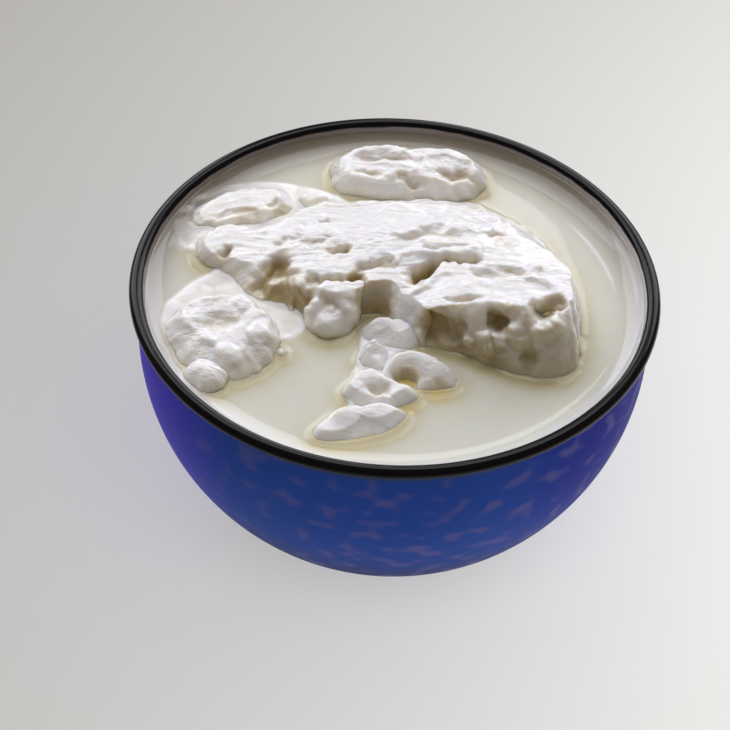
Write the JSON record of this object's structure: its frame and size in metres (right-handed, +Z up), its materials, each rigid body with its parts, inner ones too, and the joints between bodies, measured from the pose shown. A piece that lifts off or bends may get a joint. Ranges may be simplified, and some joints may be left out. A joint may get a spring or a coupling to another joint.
{
  "type": "bowl of yogurt",
  "caption": "Round enamelled bowl with a rolled rim, filled with curdled yogurt: white curds afloat in pale whey.",
  "frame": {"origin": "middle of the flat underside, at the bottom centre of the bounding box", "axes": "+Z up through the bowl's mouth, +X to the right and +Y away from the viewer of the picture"},
  "size_m": [0.14, 0.14, 0.0818],
  "materials": {
    "enamel": "glossy vitreous enamel, mottled blue outside, white inside, black rolled rim",
    "whey": "pale yellow-green cloudy liquid, glossy",
    "curd": "wet white curd, lumpy"
  },
  "bodies": {
    "root": {"bowl": "enamel", "whey": "whey", "curd_main": "curd", "curd_back": "curd", "curd_back_left": "curd", "curd_back_small": "curd", "curd_left": "curd", "curd_left_front": "curd", "curd_trail_top": "curd", "curd_trail_bead": "curd", "curd_trail_arch": "curd", "curd_trail_ring": "curd", "curd_trail_tail": "curd", "curd_bit": "curd"}
  },
  "joints": []
}
